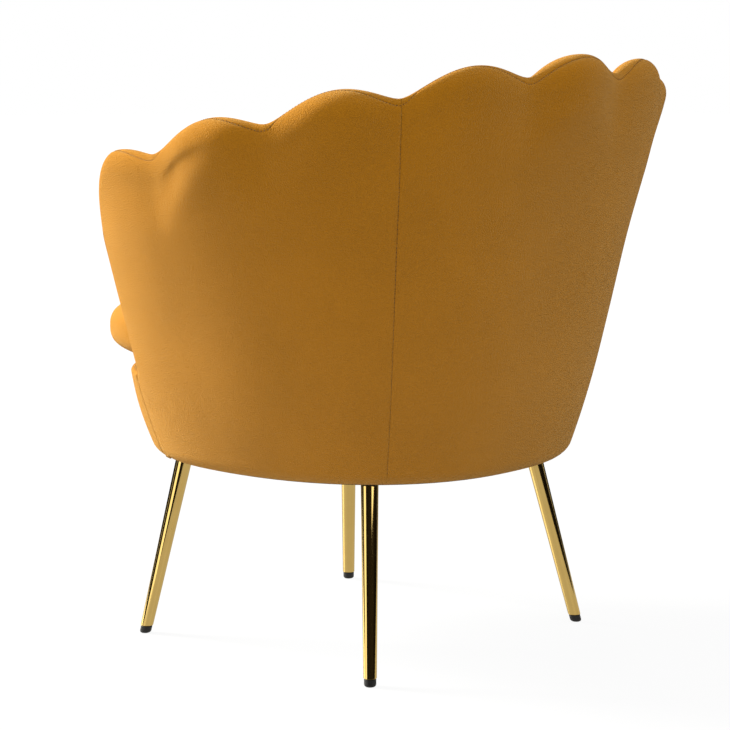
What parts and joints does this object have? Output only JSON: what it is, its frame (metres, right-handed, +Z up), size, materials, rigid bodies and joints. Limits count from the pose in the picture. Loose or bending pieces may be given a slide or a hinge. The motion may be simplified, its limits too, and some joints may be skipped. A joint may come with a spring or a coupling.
{
  "type": "upholstered tub armchair",
  "caption": "Scalloped tub armchair with channelled velvet back and arms, a loose seat cushion and splayed, tapered metal legs.",
  "frame": {"origin": "on the floor, under the middle of the chair's bounding box", "axes": "+Z up, -Y towards the open front, +X towards the sitter's left hand"},
  "size_m": [0.8028, 0.7306, 0.8],
  "materials": {
    "velvet": "short pile mustard velvet",
    "brass_plated_steel": "polished plating",
    "black_plastic": "moulded, matt",
    "zinc_steel": "zinc plated",
    "plywood": "raw bent plywood",
    "pine": "raw sawn pine",
    "insulator_felt": "needled felt",
    "black_lining": "non-woven lining"
  },
  "bodies": {
    "chair": {"back_cover": "velvet", "side_cover_left": "velvet", "side_cover_right": "velvet", "front_rail_cover": "velvet", "arm_facing_left": "velvet", "arm_facing_right": "velvet", "channel_pad_centre": "velvet", "channel_pad_inner_back_left": "velvet", "channel_pad_inner_back_right": "velvet", "channel_pad_outer_back_left": "velvet", "channel_pad_outer_back_right": "velvet", "channel_pad_side_left": "velvet", "channel_pad_side_right": "velvet", "channel_pad_arm_left": "velvet", "channel_pad_arm_right": "velvet", "back_shell_board": "plywood", "side_shell_board_left": "plywood", "side_shell_board_right": "plywood", "back_rail": "pine", "front_rail": "pine", "side_rail_left": "pine", "side_rail_right": "pine", "corner_block_front_left": "pine", "corner_block_front_right": "pine", "corner_block_back_left": "pine", "corner_block_back_right": "pine", "spring_clip_strip_back": "zinc_steel", "spring_clip_strip_front": "zinc_steel", "sinuous_spring_1": "zinc_steel", "sinuous_spring_2": "zinc_steel", "sinuous_spring_3": "zinc_steel", "sinuous_spring_4": "zinc_steel", "insulator_pad": "insulator_felt", "dust_cover": "black_lining", "leg_front_left": "brass_plated_steel", "leg_front_right": "brass_plated_steel", "leg_back_left": "brass_plated_steel", "leg_back_right": "brass_plated_steel", "foot_tip_front_left": "black_plastic", "foot_tip_front_right": "black_plastic", "foot_tip_back_left": "black_plastic", "foot_tip_back_right": "black_plastic", "leg_plate_front_left": "brass_plated_steel", "leg_plate_front_right": "brass_plated_steel", "leg_plate_back_left": "brass_plated_steel", "leg_plate_back_right": "brass_plated_steel", "leg_bolt_front_left_1": "zinc_steel", "leg_bolt_front_left_2": "zinc_steel", "leg_bolt_front_left_3": "zinc_steel", "leg_bolt_front_right_1": "zinc_steel", "leg_bolt_front_right_2": "zinc_steel", "leg_bolt_front_right_3": "zinc_steel", "leg_bolt_back_left_1": "zinc_steel", "leg_bolt_back_left_2": "zinc_steel", "leg_bolt_back_left_3": "zinc_steel", "leg_bolt_back_right_1": "zinc_steel", "leg_bolt_back_right_2": "zinc_steel", "leg_bolt_back_right_3": "zinc_steel"},
    "seat_cushion": {"seat_cushion": "velvet"}
  },
  "joints": [
    {"name": "seat_cushion_lift", "type": "slide", "parent": "chair", "child": "seat_cushion", "axis": [0, 0, 1], "range_m": [0, 0.4]}
  ]
}
